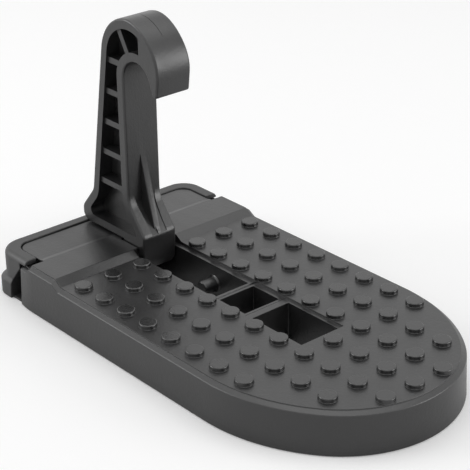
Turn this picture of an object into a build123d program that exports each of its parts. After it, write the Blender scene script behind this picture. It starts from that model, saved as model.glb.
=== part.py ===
from build123d import *
import os
from math import atan2, cos, degrees, hypot, radians, sin, sqrt, tan

# Car door step. Millimetres, +Z up, +X towards the rounded nose that faces away from the car,
# +Y to the far side. The origin is under the middle of the step, on the surface it lies on.

# Overall sizes
step_length = 162.6
step_width = 85.2
deck_height = 14.5
plateau_rise = 1.9

# Plan outline of the tread: straight sides, a large arc each side and a nose arc
nose_radius = 37.0
nose_sweep = 50.9
body_corner = 3.0
shoulder_ahead = 10.9
bevel_run = 2.0
bevel_drop = 1.45
edge_step = 0.25

# Walls of the moulding
side_wall = 2.8
top_wall = 3.0
well_wall = 2.35
rib_wall = 1.8
rib_lift = 0.8
rib_spacing = 32.0
low_rib_height = 2.6
low_rib_offset = 25.0

# Rubber bumper
bumper_wall = 5.2
bumper_bulge = 1.0
bulge_height = 6.4
bumper_width = 82.8
bumper_corner = 8.0
bumper_rounding = 2.0
rim_inner_width = 72.6
rim_corner = 4.5
rim_setback = 2.5
rim_rise = 0.5
rim_gap = 0.4
wing_slope_run = 5.8
wing_slope_top = 12.4
wing_slope_foot = 7.0
wing_toe = 1.1
plug_radius = 2.4
plug_barb = 0.8
plug_spacing = 17.8
plug_height = 7.2
rubber_gap = 0.1

# Plateau and rear zone
pivot_setback = 26.05
plateau_ahead = 2.95
ramp_run = 3.3
crease_behind = 10.75
crease_bevel = 1.2
rear_zone_drop = 0.35

# Hook arm, measured from its pivot
arm_width = 13.7
arm_chamfer = 0.8
front_setback = 1.65
crown_x = 1.55
crown_z = 68.75
crown_radius = 14.9
throat_drop = 5.5
throat_radius = 6.85
tip_drop = 1.25
rear_lean = 9.3
heel_slope_height = 17.7
heel_slope_angle = 50.5
heel_reach = 28.5
heel_gap = 0.1
heel_rounding = 3.2
hub_radius = 5.8
foot_top = 18.8
foot_bottom = 8.6
foot_front = 6.1
foot_lowest = 2.5

# Side pockets and ribs of the arm
flange = 3.3
web = 3.2
rib_inset = 0.4
arm_rib = 1.8
arm_rib_pitch = 11.2
lowest_rib = 22.55
arm_rib_count = 5
crown_rib_angle = 120.0
pocket_end = 7.2

# Front gusset and the two channels beside it
gusset_top = 35.7
gusset_width = 2.4
gusset_reach = 4.6
gusset_foot = 9.6
gusset_bulge = 0.5
front_channel_top = 24.0
front_channel_wide = 5.95
front_channel_narrow = 2.5
front_channel_narrows = 10.4
front_channel_bottom = 6.0

# Channel, slot and wells in the deck
channel_width = 18.0
channel_depth = 1.0
well_recess = 0.8
channel_ahead = 1.0
fold_gap = 0.3
slot_side_gap = 0.3
hub_gap = 0.6
slot_spare = 6.95
web_one = 2.7
web_two = 4.1
groove_width = 0.8
groove_depth = 0.4
hook_well_width = 15.2
hook_well_gap = 0.35
well_corner = 0.8

# Studs
stud_pitch_x = 11.29
stud_pitch_y = 12.0
stud_radius = 2.95
stud_height = 1.4
stud_bevel = 0.45
first_stud = 11.15
stud_margin = 3.9

# Pivot pin, cradles, clamps and screws
pin_radius = 3.0
running_gap = 0.05
pin_length = 42.0
pin_chamfer = 0.5
cradle_length = 12.4
cradle_half = 9.5
cradle_drop = 7.75
clamp_thickness = 3.4
clamp_gap = 0.4
tongue_drop = 1.8
tongue_gap = 0.1
screw_offset = 6.1
screw_radius = 1.5
screw_fit = 0.03
screw_hole_radius = 1.75
screw_head_radius = 2.35
screw_head_height = 1.8
screw_recess = 2.0
screw_recess_gap = 0.2
screw_depth = 6.5
screw_slot = 0.9
screw_head_bevel = 0.5

# Round bosses that stand out of the slot's walls
boss_reach = 25.45
boss_drop = 5.55
boss_radius = 2.6
boss_end = 1.5
boss_bevel = 0.5
boss_foot = 0.6

# Places worked out from the sizes above
rear = -step_length / 2
nose = step_length / 2
half_width = step_width / 2
body_rear = rear + bumper_bulge + bumper_wall
pivot_x = body_rear + pivot_setback
pivot_z = deck_height - channel_depth + fold_gap - front_setback
plateau_height = deck_height + plateau_rise
plateau_front = pivot_x + plateau_ahead
crease_x = pivot_x - crease_behind
arm_half = arm_width / 2
slot_half = arm_half + slot_side_gap
heel_z = plateau_height + heel_gap - pivot_z
shoulder_x = body_rear + shoulder_ahead
rim_top = plateau_height - rear_zone_drop + rim_rise
throat_z = crown_z - throat_drop
tip_height = throat_z - tip_drop

# The folded hook drops into its own well: the crown sets the front wall, the tip the rear wall
throat_x = throat_radius - front_setback
crown_reach = hypot(crown_x, crown_z) + crown_radius
tip_inner_x = throat_x + sqrt(throat_radius**2 - (throat_z - tip_height) ** 2)
tip_reach = sqrt(tip_inner_x**2 + tip_height**2 - pivot_z**2)
slot_rear = pivot_x - hub_radius - hub_gap
slot_front = pivot_x + gusset_top + slot_spare
small_well_rear = slot_front + web_one
hook_well_rear = pivot_x + tip_reach - hook_well_gap
hook_well_front = pivot_x + crown_reach + hook_well_gap
small_well_front = hook_well_rear - web_two
channel_front = hook_well_front + channel_ahead

# The side arc meets the straight side and the nose arc without a corner
sweep_sine = sin(radians(nose_sweep))
sweep_cosine = cos(radians(nose_sweep))
side_radius = (half_width - nose_radius * sweep_sine) / (1 - sweep_sine)
nose_centre = nose - nose_radius
side_centre = nose_centre - (side_radius - nose_radius) * sweep_cosine


def shoulder_outline(inset=0.0):
    """Plan of the tread ahead of its rear shoulders, moved inwards by the inset."""
    half = half_width - inset
    back = shoulder_x + inset
    corner = max(body_corner - inset, 0.5)
    r_nose = nose_radius - inset
    r_side = side_radius - inset
    side_y = half - r_side
    join = (nose_centre + r_nose * sweep_cosine, r_nose * sweep_sine)
    mid_angle = radians((90 + nose_sweep) / 2)
    mid = (side_centre + r_side * cos(mid_angle), side_y + r_side * sin(mid_angle))
    side = Line((back + corner, half), (side_centre, half))
    shoulder = ThreePointArc((side_centre, half), mid, join)
    front = ThreePointArc(join, (nose_centre + r_nose, 0), (join[0], -join[1]))
    tail = Line((back, -half + corner), (back, half - corner))
    bend = corner * (1 - sqrt(0.5))
    turn = ThreePointArc((back, half - corner), (back + bend, half - bend), (back + corner, half))
    edges = [side, shoulder, front, tail, turn]
    edges += [mirror(edge, about=Plane.XZ) for edge in (side, shoulder, turn)]
    return make_face(edges)


def tongue(clearance=0.0):
    """Plan of the rear tongue, which the rubber goes round, grown by a clearance."""
    half = rim_inner_width / 2 + clearance
    back = body_rear - clearance
    plan = Pos((back + crease_x) / 2, 0) * Rectangle(crease_x - back, 2 * half)
    corners = plan.vertices().group_by(Axis.X)[0]
    return fillet(corners, max(rim_corner + clearance, 0.5))


def outline(inset=0.0):
    """The tread's whole plan outline, moved inwards by the inset."""
    return shoulder_outline(inset) + tongue(-inset)


def box(x0, x1, y0, y1, z0, z1):
    """A box between two corners."""
    centre = ((x0 + x1) / 2, (y0 + y1) / 2, (z0 + z1) / 2)
    return Pos(*centre) * Box(abs(x1 - x0), abs(y1 - y0), abs(z1 - z0))


def span(x0, x1, y0, y1):
    """A flat rectangle between two corners."""
    return Pos((x0 + x1) / 2, (y0 + y1) / 2) * Rectangle(x1 - x0, y1 - y0)


def side_prism(points, half):
    """A prism across the step from a profile of (x, z) points."""
    face = make_face(Polyline(*points, close=True))
    return extrude(Plane.XZ * face, half, both=True)


def cross_cylinder(x, z, radius, length):
    """A cylinder along Y, centred on the middle plane."""
    return Pos(x, 0, z) * Rot(90, 0, 0) * Cylinder(radius, length)


def rounded_slab(inset, height, run=0.0, drop=0.0):
    """The tread ahead of its shoulders up to a height, its upper edge bevelled if a run is given."""
    slab = extrude(shoulder_outline(inset), height)
    if run:
        top = slab.faces().sort_by(Axis.Z)[-1]
        slab = chamfer(top.edges(), run, drop, reference=top)
    return slab


def plateau_prism(lowering=0.0):
    """What lies behind the ramp, with the rear zone a little below the plateau."""
    top = plateau_height - lowering
    foot = deck_height - lowering
    low = top - rear_zone_drop
    points = [
        (body_rear - 1, 0),
        (plateau_front + ramp_run, 0),
        (plateau_front + ramp_run, foot),
        (plateau_front, top),
        (crease_x, top),
        (crease_x - crease_bevel, low),
        (body_rear - 1, low),
    ]
    return side_prism(points, step_width)


def tread_block():
    """Deck, plateau, tongue and bevelled edges as one solid block, before the hollows are cut."""
    low_rim = rounded_slab(0, deck_height - edge_step, bevel_run, bevel_drop)
    low_pad = rounded_slab(bevel_run, deck_height)
    high_rim = rounded_slab(0, plateau_height - edge_step, bevel_run, bevel_drop)
    high_pad = rounded_slab(bevel_run, plateau_height)
    high = (high_rim & plateau_prism(edge_step)) + (high_pad & plateau_prism())
    ledge_low = deck_height - edge_step - bevel_drop
    high -= box(body_rear - 1, crease_x, -step_width, step_width, ledge_low, plateau_height + 1)
    rear_tongue = extrude(tongue(), plateau_height) & plateau_prism()
    return low_rim + low_pad + high + rear_tongue


def openings_prism(extra=0.0, low=-1.0, high=30.0):
    """Slot and wells right through the deck, grown by the wall thickness when that is given."""
    spans = [
        (slot_rear, slot_front, slot_half),
        (small_well_rear, small_well_front, slot_half),
        (hook_well_rear, hook_well_front, hook_well_width / 2),
    ]
    result = None
    for x0, x1, half in spans:
        plan = Pos((x0 + x1) / 2, 0, low) * RectangleRounded(
            x1 - x0 + 2 * extra, 2 * (half + extra), well_corner + extra
        )
        prism = extrude(plan, high - low)
        result = prism if result is None else result + prism
    return result


def channel_cut():
    """Shallow channel in which the folded arm lies, less deep beside the hook's well."""
    half = channel_width / 2
    top = plateau_height + 1
    step_x = small_well_front + web_two / 3
    deep = box(plateau_front, step_x, -half, half, deck_height - channel_depth, top)
    shallow = box(step_x, channel_front, -half, half, deck_height - well_recess, top)
    groove_x = slot_front + web_one / 2
    groove_low = deck_height - channel_depth - groove_depth
    groove = box(groove_x - groove_width / 2, groove_x + groove_width / 2, -half, half, groove_low, top)
    return deep + shallow + groove


def edge_distance(x, y):
    """Distance from a point on the deck to the tread's outline, ahead of the rear corners."""
    y = abs(y)
    if degrees(atan2(y, x - nose_centre)) < nose_sweep:
        return nose_radius - hypot(x - nose_centre, y)
    if x > side_centre:
        return side_radius - hypot(x - side_centre, y - half_width + side_radius)
    return half_width - y


def stud_places():
    """Centres of the studs: a grid, kept off the edge and the channel."""
    rows = int(half_width // stud_pitch_y)
    columns = int(step_length // stud_pitch_x)
    places = []
    for row in range(-rows, rows + 1):
        for column in range(columns):
            x = pivot_x + first_stud + column * stud_pitch_x
            y = row * stud_pitch_y
            clear_of_channel = abs(y) > channel_width / 2 or x > channel_front + stud_radius
            if clear_of_channel and edge_distance(x, y) >= stud_margin:
                places.append((x, y))
    return places


def studs():
    """Low round studs with a bevelled upper edge."""
    stud = Pos(0, 0, stud_height / 2) * Cylinder(stud_radius, stud_height)
    stud = chamfer(stud.edges().sort_by(Axis.Z)[-1], stud_bevel)
    return [Pos(x, y, deck_height) * stud for x, y in stud_places()]


def underside_ribs():
    """Walls round the openings, cross ribs, shallow ribs and the solid blocks of the pin cradles."""
    high = plateau_height
    keep = openings_prism(well_wall, 0, high)
    spine_half = slot_half + well_wall
    for y in (-spine_half, spine_half - rib_wall):
        keep += box(body_rear, nose, y, y + rib_wall, rib_lift, high)
    shallow = deck_height - top_wall - low_rib_height
    for y in (-low_rib_offset, low_rib_offset):
        keep += box(body_rear, nose, y - rib_wall / 2, y + rib_wall / 2, shallow, high)
    first = pivot_x + cradle_half
    for index in range(int(step_length // rib_spacing)):
        x = first + index * rib_spacing
        between = x + rib_spacing / 2
        if x + rib_wall < nose - side_wall:
            keep += box(x, x + rib_wall, -half_width, half_width, rib_lift, high)
        if between + rib_wall < nose - side_wall:
            keep += box(between, between + rib_wall, -half_width, half_width, shallow, high)
    keep += box(slot_front - 1, small_well_rear + 1, -slot_half, slot_half, 0, high)
    keep += box(small_well_front - 1, hook_well_rear + 1, -slot_half, slot_half, 0, high)
    outer = spine_half + cradle_length
    low = pivot_z - cradle_drop
    keep += box(pivot_x - cradle_half, pivot_x + cradle_half, -outer, outer, low, high)
    return keep


def underside_hollow():
    """The hollow under the deck, which goes higher under the plateau."""
    low_hollow = extrude(outline(side_wall), deck_height - top_wall)
    high_hollow = extrude(outline(side_wall), plateau_height - top_wall)
    high_hollow &= box(body_rear, plateau_front - top_wall, -step_width, step_width, 0, plateau_height)
    return (low_hollow + high_hollow) - underside_ribs()


def pin_cuts():
    """Cradles open from below for the pivot pin, screw pilots and the bumper's plug holes."""
    reach = pin_length / 2 + clamp_gap
    bore = pin_radius + running_gap
    cuts = box(pivot_x - bore, pivot_x + bore, -reach, reach, -1, pivot_z)
    cuts += cross_cylinder(pivot_x, pivot_z, bore, 2 * reach)
    low = pivot_z - cradle_drop
    up = (Align.CENTER, Align.CENTER, Align.MIN)
    pilot = Cylinder(screw_radius + screw_fit, screw_depth + 1, align=up)
    for x, y in screw_places():
        cuts += Pos(x, y, low - 1) * pilot
    for y in (-plug_spacing, 0, plug_spacing):
        hole = Rot(0, 90, 0) * Cylinder(plug_radius + rubber_gap, 3 * side_wall)
        cuts += Pos(body_rear, y, plug_height) * hole
    return cuts


def screw_places():
    """Centres of the four clamp screws, two in each cap."""
    y = slot_half + well_wall + cradle_length / 2
    return [(pivot_x + dx, dy) for dy in (-y, y) for dx in (-screw_offset, screw_offset)]


def slot_bosses():
    """A round boss on each wall of the slot, with a conical foot against the wall."""
    root = slot_half + well_wall / 2
    profile = [
        (0, root),
        (boss_radius + boss_foot, root),
        (boss_radius + boss_foot, slot_half),
        (boss_radius, slot_half - boss_foot),
        (boss_radius, boss_end + boss_bevel),
        (boss_radius - boss_bevel, boss_end),
        (0, boss_end),
    ]
    boss = revolve(Plane.XY * make_face(Polyline(*profile, close=True)), Axis.Y)
    boss = Pos(pivot_x + boss_reach, 0, pivot_z - boss_drop) * boss
    return [boss, mirror(boss, about=Plane.XZ)]


def make_step_plate():
    """The moulded tread, one solid."""
    plate = tread_block() - channel_cut() - underside_hollow() - openings_prism() - pin_cuts()
    return plate.fuse(*studs(), *slot_bosses())


def arm_profile():
    """Side view of the arm about its pivot: shank, heel, foot, hub and crown, less the throat."""
    lean = radians(rear_lean)
    top_x = crown_x - crown_radius * cos(lean)
    top_z = crown_z + crown_radius * sin(lean)
    bend_x = top_x - (top_z - heel_slope_height) * tan(lean)
    heel_top = heel_slope_height - (heel_reach + bend_x) * tan(radians(heel_slope_angle))
    points = [
        (top_x, top_z),
        (bend_x, heel_slope_height),
        (-heel_reach, heel_top),
        (-heel_reach, heel_z),
        (-hub_radius, heel_z),
        (-hub_radius, 0),
        (hub_radius, 0),
        (hub_radius, foot_lowest),
        (foot_front, foot_bottom),
        (-front_setback, foot_top),
        (-front_setback, crown_z),
    ]
    radii = [0, 6, 3, heel_rounding, 0, 0, 0, 0, 3, 8, 0]
    shank = make_face(FilletPolyline(*points, radius=radii, close=True))
    crown = Pos(crown_x, crown_z) * Circle(crown_radius)
    crown -= span(-front_setback, crown_x + crown_radius + 1, 0, tip_height)
    throat = Pos(throat_x, throat_z) * Circle(throat_radius)
    throat += span(-front_setback, throat_x + throat_radius, tip_height - 1, throat_z)
    return shank + crown + Circle(hub_radius) - throat


def make_gusset():
    """Central rib down the front of the arm, which comes forward towards the foot."""
    back = -front_setback - flange / 2
    middle_x = (gusset_reach - front_setback) / 2 + gusset_bulge
    middle_z = (gusset_top + gusset_foot) / 2
    top = (-front_setback, gusset_top)
    edge = ThreePointArc(top, (middle_x, middle_z), (gusset_reach, gusset_foot))
    rest = Polyline((gusset_reach, gusset_foot), (gusset_reach - 1, 0), (back, 0), (back, gusset_top), top)
    return extrude(Plane.XZ * make_face([edge, rest]), gusset_width / 2, both=True)


def front_channels():
    """The hollow in the front of the foot that the gusset stands in, narrower further down."""
    upper = [(front_channel_wide, front_channel_top), (front_channel_narrow, front_channel_narrows)]
    far_side = upper + [(front_channel_narrow, front_channel_bottom)]
    near_side = [(-y, z) for y, z in reversed(far_side)]
    front_view = Plane.YZ * make_face(Polyline(*far_side, *near_side, close=True))
    return Pos(-front_setback, 0, 0) * extrude(front_view, 3 * gusset_reach)


def pocket_plan():
    """Side pocket: the arm's outline moved in by the flange, kept above the hub and off the beak."""
    inner = offset(arm_profile(), -flange, kind=Kind.INTERSECTION)
    keep = span(-heel_reach, pocket_end, heel_z + flange, crown_z + crown_radius)
    return inner & keep


def arm_ribs():
    """Ribs across the pocket: level ones up the shank and one that points at the throat."""
    ribs = None
    for index in range(arm_rib_count):
        z = lowest_rib + index * arm_rib_pitch
        rib = Pos(-crown_radius, z) * Rectangle(3 * crown_radius, arm_rib)
        ribs = rib if ribs is None else ribs + rib
    spoke = Pos(throat_x, throat_z) * Rot(0, 0, crown_rib_angle) * Pos(crown_radius, 0)
    return ribs + spoke * Rectangle(2 * crown_radius, arm_rib)


def make_hook_arm():
    """The moulded arm, built about its pivot and then put on it."""
    body = extrude(Plane.XZ * arm_profile(), arm_half, both=True)
    sides = body.faces().filter_by(Axis.Y).edges()
    body = chamfer(sides, arm_chamfer)
    pocket = pocket_plan()
    cells = pocket - arm_ribs()
    depth = arm_half - web / 2
    for side in (-1, 1):
        shallow = extrude(Plane.XZ * pocket, arm_half + 1, both=True)
        shallow &= box(-60, 60, side * (arm_half - rib_inset), side * (arm_half + 1), 0, 100)
        deep = extrude(Plane.XZ * cells, arm_half + 1, both=True)
        deep &= box(-60, 60, side * (arm_half - depth), side * (arm_half + 1), 0, 100)
        body -= shallow
        body -= deep
    body -= front_channels()
    body += make_gusset()
    body -= cross_cylinder(0, 0, pin_radius + running_gap, 2 * arm_width)
    return Pos(pivot_x, 0, pivot_z) * body


def bumper_outline(back, half):
    """Plan of the bumper's outer face, from its rear corners to the crease."""
    plan = Pos((back + crease_x) / 2, 0) * Rectangle(crease_x - back, 2 * half)
    return fillet(plan.vertices().group_by(Axis.X)[0], bumper_corner)


def wing_profile(face_x):
    """Side view of the rubber beside the tongue: a wing that slopes back and then drops."""
    front = shoulder_x - rubber_gap
    toe = front - wing_slope_run
    rim_low = deck_height + rubber_gap
    return [
        (face_x - 1, -1),
        (toe - wing_toe, -1),
        (toe - wing_toe, 0),
        (toe, wing_slope_foot),
        (front, wing_slope_top),
        (front, rim_low),
        (crease_x - rim_setback, rim_low),
        (crease_x - rim_setback, rim_top + 1),
        (face_x - 1, rim_top + 1),
    ]


def make_rubber_bumper():
    """Rear wall with a fuller foot, wings and a rim round the tongue and three barbed plugs."""
    half = bumper_width / 2
    back = rear + bumper_bulge
    face_x = body_rear - rubber_gap
    upper = extrude(bumper_outline(back, half), rim_top)
    upper = fillet(upper.faces().sort_by(Axis.Z)[-1].edges().sort_by(Axis.X)[:-1], bumper_rounding)
    foot = extrude(bumper_outline(rear, half + bumper_bulge / 2), bulge_height)
    foot = chamfer(foot.faces().sort_by(Axis.Z)[-1].edges().sort_by(Axis.X)[:-1], bumper_bulge / 2)
    shell = upper + foot
    slab = box(rear - 1, face_x, -step_width, step_width, -1, rim_top + 1)
    bumper = shell & (slab + side_prism(wing_profile(face_x), step_width))
    bumper -= extrude(tongue(rubber_gap), rim_top)
    bumper -= extrude(Pos(0, 0, deck_height + rubber_gap) * tongue(rim_gap), rim_top)
    return bumper + bumper_plugs(face_x)


def bumper_plugs(face_x):
    """Plugs through the rear wall, each with a barb behind it."""
    shank = side_wall + 3 * rubber_gap
    barb = plug_radius + plug_barb
    profile = [(0, -1), (plug_radius, -1), (plug_radius, shank), (barb, shank), (barb, shank + 1)]
    profile += [(plug_radius - 0.6, shank + 3.6), (0, shank + 3.6)]
    plug = revolve(Plane.XZ * make_face(Polyline(*profile, close=True)), Axis.Z)
    plug = Rot(0, 90, 0) * plug
    places = [(y, plug_height) for y in (-plug_spacing, 0, plug_spacing)]
    plugs = [Pos(face_x, y, z) * plug for y, z in places]
    return plugs[0] + plugs[1] + plugs[2]


def make_pivot_pin():
    """The steel pin that the arm turns on, with chamfered ends."""
    pin = cross_cylinder(pivot_x, pivot_z, pin_radius, pin_length)
    return chamfer(pin.edges().filter_by(GeomType.CIRCLE), pin_chamfer)


def make_clamp(side):
    """Cap under one cradle, with a tongue that reaches up to the pivot pin."""
    inner = slot_half + well_wall + clamp_gap
    outer = slot_half + well_wall + cradle_length
    top = pivot_z - cradle_drop
    low = top - clamp_thickness
    cap = box(pivot_x - cradle_half, pivot_x + cradle_half, side * inner, side * outer, low, top)
    cap = fillet(cap.edges().filter_by(Axis.Z), 2)
    half = pin_radius + running_gap - tongue_gap
    end = pin_length / 2 - clamp_gap
    start = slot_half + slot_side_gap
    cap += box(pivot_x - half, pivot_x + half, side * start, side * end, low, pivot_z - tongue_drop)
    cap -= cross_cylinder(pivot_x, pivot_z, pin_radius + running_gap, 2 * pin_length)
    for x, y in screw_places():
        if y * side > 0:
            cap -= Pos(x, y, top) * Cylinder(screw_hole_radius, 4 * clamp_thickness)
            recess = Cylinder(screw_head_radius + screw_recess_gap, 2 * screw_recess)
            cap -= Pos(x, y, low) * recess
    return cap


def make_screws():
    """Four pan-head screws with a straight slot, driven up into the cradle blocks."""
    seat = pivot_z - cradle_drop - clamp_thickness + screw_recess
    up = (Align.CENTER, Align.CENTER, Align.MIN)
    down = (Align.CENTER, Align.CENTER, Align.MAX)
    head = Cylinder(screw_head_radius, screw_head_height, align=down)
    head = chamfer(head.edges().sort_by(Axis.Z)[0], screw_head_bevel)
    head -= Pos(0, 0, -screw_head_height) * Box(3 * screw_head_radius, screw_slot, screw_slot)
    screw = head + Cylinder(screw_radius, clamp_thickness - screw_recess + screw_depth - 1, align=up)
    return Compound([Pos(x, y, seat) * screw for x, y in screw_places()])


def main():
    nodes = {
        "step_plate": make_step_plate(),
        "hook_arm": make_hook_arm(),
        "rubber_bumper": make_rubber_bumper(),
        "pivot_pin": make_pivot_pin(),
        "pin_clamp_near": make_clamp(-1),
        "pin_clamp_far": make_clamp(1),
        "clamp_screws": make_screws(),
    }
    os.makedirs("parts", exist_ok=True)
    for name, solid in nodes.items():
        export_step(solid, "parts/" + name + ".step")


main()
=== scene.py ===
"""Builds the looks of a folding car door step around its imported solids."""

from contextlib import contextmanager
from math import atan2, cos, degrees, hypot, pi, radians, sin, tan

import bpy
import bmesh
from bpy.props import FloatProperty, FloatVectorProperty, PointerProperty
from bpy.types import Operator, Panel, PropertyGroup
from mathutils import Matrix, Vector


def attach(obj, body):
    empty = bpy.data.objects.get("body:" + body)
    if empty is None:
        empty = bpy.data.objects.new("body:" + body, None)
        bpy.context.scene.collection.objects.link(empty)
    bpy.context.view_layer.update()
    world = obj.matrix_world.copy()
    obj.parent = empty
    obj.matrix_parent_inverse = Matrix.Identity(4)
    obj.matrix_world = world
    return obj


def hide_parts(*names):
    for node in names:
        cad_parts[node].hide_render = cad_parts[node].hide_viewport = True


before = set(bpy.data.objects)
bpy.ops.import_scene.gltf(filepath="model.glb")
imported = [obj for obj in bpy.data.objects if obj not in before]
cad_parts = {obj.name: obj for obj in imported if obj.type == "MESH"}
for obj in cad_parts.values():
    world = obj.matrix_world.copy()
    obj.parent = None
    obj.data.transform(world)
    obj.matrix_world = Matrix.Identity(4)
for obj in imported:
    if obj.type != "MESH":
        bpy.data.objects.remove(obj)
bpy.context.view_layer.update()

bl_info = {
    "name": "Car Door Step",
    "version": (1, 0, 0),
    "blender": (4, 5, 0),
    "location": "3D View > Sidebar > Door Step",
    "description": "Dresses a folding car door step around its packed solids",
    "category": "Object",
}

# Metres in a millimetre. Pieces are shaped in millimetres and brought to metres when they are finished.
MM = 0.001

# Distances in millimetres at which points are one, when a mesh is made and after it is cut
WELD = 0.0005
CUT_WELD = 0.002

# Angles in degrees up to which faces are merged as flat, and past which an edge is shaded as sharp
FLAT_ANGLE = 0.5
SHARP_ANGLE = 32

# How far cutting shapes reach past the step, and how far shapes that are joined bite into each other
BEHIND = -90
UNDER = -1
FAR_UNDER = -2
OVER = 20
FAR_OVER = 30
BESIDE = 50
BITE = 1

# Overall places of the step, in millimetres, as the solids have them
REAR = -81.3
NOSE = 81.3
HALF_WIDTH = 42.6
BODY_REAR = REAR + 6.2
DECK = 14.5
RISE = 1.9
PLATEAU = DECK + RISE
PIVOT_X = BODY_REAR + 26.05
PIVOT_Z = 12.15

# Plan outline of the tread, from its rear shoulders to the nose, with two more points on its straight side
SHOULDER = -66.2
SHOULDER_CORNER = 2.0
LEAST_CORNER = 0.2
SHOULDER_CURVE = 41.0
SHOULDER_TURN = 9.8
NOSE_RADIUS = 38.5
NOSE_SWEEP = 50.9
SWEEP_SIN = sin(radians(NOSE_SWEEP))
SWEEP_COS = cos(radians(NOSE_SWEEP))
SIDE_RADIUS = (HALF_WIDTH - NOSE_RADIUS * SWEEP_SIN) / (1 - SWEEP_SIN)
NOSE_CENTRE = NOSE - NOSE_RADIUS
SIDE_CENTRE = NOSE_CENTRE - (SIDE_RADIUS - NOSE_RADIUS) * SWEEP_COS
SIDE_STOPS = (-20, 0)

# Upright profile of the tread's edge, as (inset, height): the foot, which leans out by the draft, the bevel
# with the small step above it, and the tongue's edge
DRAFT = 0.5
FOOT_PROFILE = ((0.35, 0), (0.1, 0.1), (0, 0.35))
BEVEL_PROFILE = ((0, 12.85), (0.06, 13.1), (0.24, 13.28), (1.55, 14.0), (1.63, 14.08))
LIP_PROFILE = ((1.65, 14.38), (1.69, 14.46), (1.78, DECK))
TONGUE_PROFILE = ((0, 14.2), (0.08, 14.42), (0.3, DECK))

# Ramp, plateau, crease and the rear tongue. A bend is the half width over which the top turns.
RAMP_TOP = PIVOT_X + 2.95
RAMP_FOOT = RAMP_TOP + 3.3
CREASE = PIVOT_X - 10.75
CREASE_RUN = 1.8
CREASE_BEND = 0.15
RAMP_TOP_BEND = 0.2
RAMP_FOOT_BEND = 0.3
RAMP_BESIDE = 4
REAR_DROP = 0.35
TONGUE_HALF = 36.3
TONGUE_CORNER = 4.5
TONGUE_FRONT = CREASE + 3

# Channel, slot and wells, and the height above which their edges are rounded
CHANNEL_HALF = 9.0
CHANNEL_FLOOR = DECK - 1.0
WELL_FLOOR = DECK - 0.8
SLOT_HALF = 7.15
HOOK_WELL_HALF = 7.6
SLOT_REAR = PIVOT_X - 6.4
SLOT_FRONT = -6.4
SMALL_WELL = (-3.7, 8.458)
HOOK_WELL = (12.558, 34.967)
WELL_CORNER = 0.35
CHANNEL_FRONT = 35.967
GROOVE = 0.4
ROUND_ABOVE = 12
ROUND_BESIDE = 0.5

# Walls and ribs under the deck, the pin's cradles and the pilot holes beside the pin
WALL = 2.8
TOP_WALL = 3.0
WELL_WALL = 2.35
WELL_WALL_CORNER = 3.15
RIB = 1.8
RIB_LIFT = 0.8
SHALLOW_RIB = 2.6
LONG_RIB = 25.0
CROSS_RIBS = 4
CROSS_PITCH = 32.0
SPINE_HALF = SLOT_HALF + WELL_WALL
CRADLE_HALF = 9.5
CRADLE_OUTER = SPINE_HALF + 12.4
CRADLE_LOW = 4.4
PIN_BORE = 3.05
PIN_REACH = 21.4
PILOT_X = 6.1
PILOT_Y = 15.7
PILOT_RADIUS = 1.53
PILOT_DEPTH = 6.5

# Bosses in the slot, with their section as (radius, distance from the step's middle)
BOSS_X = PIVOT_X + 25.45
BOSS_Z = 6.6
BOSS_PROFILE = ((3.2, 8.4), (3.2, 7.15), (2.85, 6.9), (2.65, 6.5), (2.58, 1.95), (2.45, 1.66), (2.2, 1.5))

# Rubber bumper, its fit on the tread, and its foot's profile as (share of the bulge left out, height)
FIT = 0.1
RUBBER_HALF = 41.5
RUBBER_CORNER = 8.0
RUBBER_TOP = 16.55
RUBBER_ROUND = 2
RUBBER_STOP = -68
RUBBER_FOOT = ((0.25, 0), (0.05, 0.1), (0, 0.35), (0, 5.2), (0.12, 5.7), (0.85, 6.9), (1.0, 7.4))
BULGE_SIDE = 1.0
BULGE_REAR = 1.0
BULGE_CORNER = 1.5
RIM_FRONT = -62.9
RIM_GAP = 0.4
RUBBER_ROUND_ABOVE = 0.5

# Side wings of the bumper, and the thin dark web beside each: painted shade, a dark sheet laid over the
# floor of the notch to stand in for the shade that falls there
WING_TOP = SHOULDER - FIT
WING_SHOULDER = 12.6
WING_BEND = (-70.9, 7)
WING_FOOT = -71.4
NOTCH_SHADE_WEB = -72
NOTCH_SHADE_WEB_HEIGHT = 0.8

# Plugs that hold the bumper, with their section as (radius, distance into the tread)
PLUG_PLACES = (-17.8, 0.0, 17.8)
PLUG_HEIGHT = 7.2
PLUG_HOLE = 2.5
PLUG_HOLE_ENDS = (BODY_REAR - 3, BODY_REAR + 5)
PLUG_PROFILE = ((2.4, -1), (2.4, 3.1), (3.2, 3.1), (3.2, 4.1), (1.8, 6.7))

# Hook arm, measured from its pivot. A circle is (x, z, radius), and so is a rounded corner.
ARM_HALF = 6.85
PAST_ARM = 8
FAR_PAST_ARM = 9
FRONT = -1.65
FRONT_FOOT = ((6.1, 8.6, 3), (FRONT, 18.8, 8))
CROWN = (1.55, 68.75, 14.9)
CROWN_START = -8
CROWN_FLAT = 0.8
CROWN_FLAT_END = 100
THROAT = (5.2, 63.25, 6.85)
THROAT_END = 22
TIP = 60.7
TIP_SPAN = (13.55, 15.55)
TIP_CORNER = 0.9
SPINE_LEAN = 9.3
SPINE_FOOT = 17.7
SPINE_BEND = 6
HEEL = 4.35
HEEL_CORNERS = ((-28.5, 9.703, 3), (-28.5, HEEL, 3.2))
HUB = 5.8
HUB_TOP = 2.5

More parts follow.
